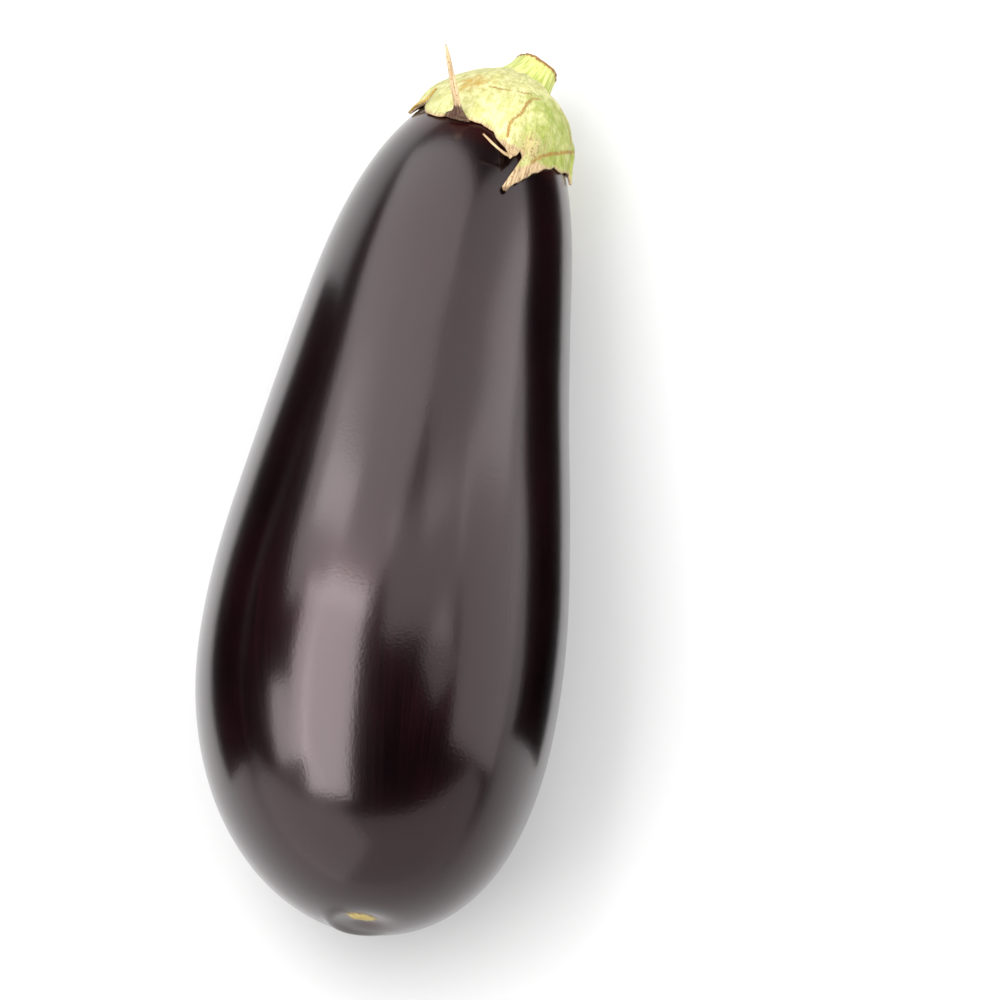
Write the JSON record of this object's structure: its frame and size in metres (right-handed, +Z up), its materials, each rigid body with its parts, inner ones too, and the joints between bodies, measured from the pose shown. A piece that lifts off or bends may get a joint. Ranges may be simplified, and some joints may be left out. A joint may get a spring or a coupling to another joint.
{
  "type": "eggplant",
  "caption": "Whole eggplant lying on its side: bowed pear-shaped glossy berry, pointed green calyx with a curled-back lobe, short cut stem and a small blossom scar.",
  "frame": {"origin": "on the floor under the weight of the fruit, in the small flat spot of the belly that it lies on", "axes": "+Z up from the floor; +Y along the fruit towards the stem, so the blossom end points to -Y; +X towards the hollow side of the bow"},
  "size_m": [0.0881, 0.2371, 0.09],
  "materials": {
    "skin": "glossy, near-black aubergine skin with fine lengthwise streaks",
    "calyx": "matt pale green, with dry tan and brown edges",
    "stem": "matt pale green with a brown cut rim and a tan cut face"
  },
  "bodies": {
    "root": {"fruit": "skin", "calyx": "calyx", "stem": "stem"}
  },
  "joints": []
}
